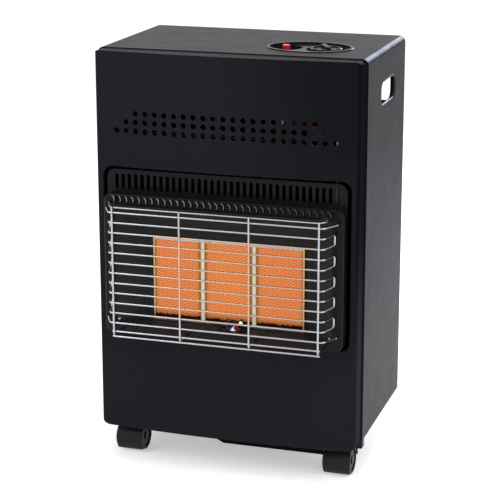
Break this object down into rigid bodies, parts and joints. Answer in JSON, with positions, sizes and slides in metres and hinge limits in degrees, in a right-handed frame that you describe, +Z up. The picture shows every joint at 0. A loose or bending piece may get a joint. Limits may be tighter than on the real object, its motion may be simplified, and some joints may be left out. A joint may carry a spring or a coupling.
{
  "type": "portable gas cabinet heater",
  "caption": "Wheeled gas cabinet heater with bowed front panel, slotted surround, ceramic burner plaques, wire guard, bottle bay and rear door.",
  "frame": {"origin": "on the floor, under the middle of the overall box", "axes": "+Z up, the front with the burner faces -Y, +X is on the right of someone who looks at the front"},
  "size_m": [0.46, 0.408, 0.7156],
  "materials": {
    "front_enamel": "satin dark blue-black paint",
    "casing_paint": "satin charcoal paint",
    "surround_enamel": "satin black heat-resistant enamel",
    "inner_enamel": "matt black enamel",
    "galvanised": "plain galvanised sheet",
    "chromed_wire": "bright chrome plating",
    "plaque_ceramic": "porous fired ceramic, glowing when lit",
    "gasket_fibre": "pale ceramic fibre",
    "bright_steel": "bright steel strip",
    "tube_steel": "plain steel tube",
    "brass": "turned brass",
    "valve_alloy": "cast alloy",
    "pipe_alloy": "bent soft alloy pipe",
    "copper_lead": "copper capillary",
    "red_sleeve": "red silicone sleeve",
    "red_plastic": "glossy red plastic",
    "black_plastic": "fine-textured black plastic",
    "knob_plastic": "black plastic",
    "electrode_ceramic": "white glazed insulator",
    "caster_nylon": "black moulded nylon",
    "screw_zinc": "zinc plated"
  },
  "bodies": {
    "cabinet": {"casing_wrap": "casing_paint", "front_panel": "front_enamel", "base_tray": "inner_enamel", "corner_plugs": "black_plastic", "heat_shield": "inner_enamel", "surround_frame": "surround_enamel", "visor": "surround_enamel", "wire_guard": "chromed_wire", "reflector": "inner_enamel", "burner_body": "tube_steel", "plaque_left": "plaque_ceramic", "plaque_centre": "plaque_ceramic", "plaque_right": "plaque_ceramic", "plaque_gaskets": "gasket_fibre", "plaque_retainer": "bright_steel", "mixing_tubes": "tube_steel", "gas_manifold": "brass", "injectors": "brass", "manifold_clips": "galvanised", "control_bracket": "galvanised", "gas_valve": "valve_alloy", "hose_nozzle": "brass", "supply_pipe": "pipe_alloy", "pilot_pipe": "pipe_alloy", "thermocouple_lead": "copper_lead", "spark_lead": "red_sleeve", "pilot_bracket": "galvanised", "pilot_burner": "bright_steel", "thermocouple": "bright_steel", "spark_electrode": "electrode_ceramic", "control_dish": "black_plastic", "piezo_igniter": "black_plastic", "hinge_brackets": "galvanised", "hinge_pins": "bright_steel", "latch_pivot": "screw_zinc", "rear_screws": "screw_zinc", "caster_sockets": "black_plastic"},
    "spindle_collar": {"spindle_collar": "brass"},
    "knob": {"valve_spindle": "bright_steel", "control_knob": "knob_plastic"},
    "igniter_button": {"igniter_button": "red_plastic"},
    "rear_door": {"rear_door": "casing_paint"},
    "door_latch": {"door_latch": "black_plastic"},
    "caster_front_left": {"caster_front_left": "caster_nylon"},
    "wheels_front_left": {"wheels_front_left": "caster_nylon"},
    "caster_front_right": {"caster_front_right": "caster_nylon"},
    "wheels_front_right": {"wheels_front_right": "caster_nylon"},
    "caster_rear_left": {"caster_rear_left": "caster_nylon"},
    "wheels_rear_left": {"wheels_rear_left": "caster_nylon"},
    "caster_rear_right": {"caster_rear_right": "caster_nylon"},
    "wheels_rear_right": {"wheels_rear_right": "caster_nylon"}
  },
  "joints": [
    {"name": "knob_push", "type": "slide", "parent": "cabinet", "child": "spindle_collar", "axis": [0, 0, -1], "range_m": [0, 0.004], "stiffness_N_per_m": 900, "springref_m": -0.005},
    {"name": "knob_turn", "type": "hinge", "parent": "spindle_collar", "child": "knob", "pos_m": [0.134, -0.015, 0.7], "axis": [0, 0, -1], "range_deg": [0, 210]},
    {"name": "igniter_press", "type": "slide", "parent": "cabinet", "child": "igniter_button", "axis": [0, 0, -1], "range_m": [0, 0.006], "stiffness_N_per_m": 900, "springref_m": -0.004},
    {"name": "door_swing", "type": "hinge", "parent": "cabinet", "child": "rear_door", "pos_m": [-0.2255, 0.161, 0.337], "axis": [0, 0, 1], "range_deg": [0, 110]},
    {"name": "latch_turn", "type": "hinge", "parent": "cabinet", "child": "door_latch", "pos_m": [0.2235, 0.1586, 0.337], "axis": [0, 1, 0], "range_deg": [0, 90]},
    {"name": "swivel_front_left", "type": "hinge", "parent": "cabinet", "child": "caster_front_left", "pos_m": [-0.186, -0.074, 0.07], "axis": [0, 0, 1], "continuous": true},
    {"name": "roll_front_left", "type": "hinge", "parent": "caster_front_left", "child": "wheels_front_left", "pos_m": [-0.186, -0.088, 0.024], "axis": [1, 0, 0], "continuous": true},
    {"name": "swivel_front_right", "type": "hinge", "parent": "cabinet", "child": "caster_front_right", "pos_m": [0.186, -0.074, 0.07], "axis": [0, 0, 1], "continuous": true},
    {"name": "roll_front_right", "type": "hinge", "parent": "caster_front_right", "child": "wheels_front_right", "pos_m": [0.186, -0.088, 0.024], "axis": [1, 0, 0], "continuous": true},
    {"name": "swivel_rear_left", "type": "hinge", "parent": "cabinet", "child": "caster_rear_left", "pos_m": [-0.125, 0.118, 0.07], "axis": [0, 0, 1], "continuous": true},
    {"name": "roll_rear_left", "type": "hinge", "parent": "caster_rear_left", "child": "wheels_rear_left", "pos_m": [-0.125, 0.104, 0.024], "axis": [1, 0, 0], "continuous": true},
    {"name": "swivel_rear_right", "type": "hinge", "parent": "cabinet", "child": "caster_rear_right", "pos_m": [0.125, 0.118, 0.07], "axis": [0, 0, 1], "continuous": true},
    {"name": "roll_rear_right", "type": "hinge", "parent": "caster_rear_right", "child": "wheels_rear_right", "pos_m": [0.125, 0.104, 0.024], "axis": [1, 0, 0], "continuous": true}
  ]
}
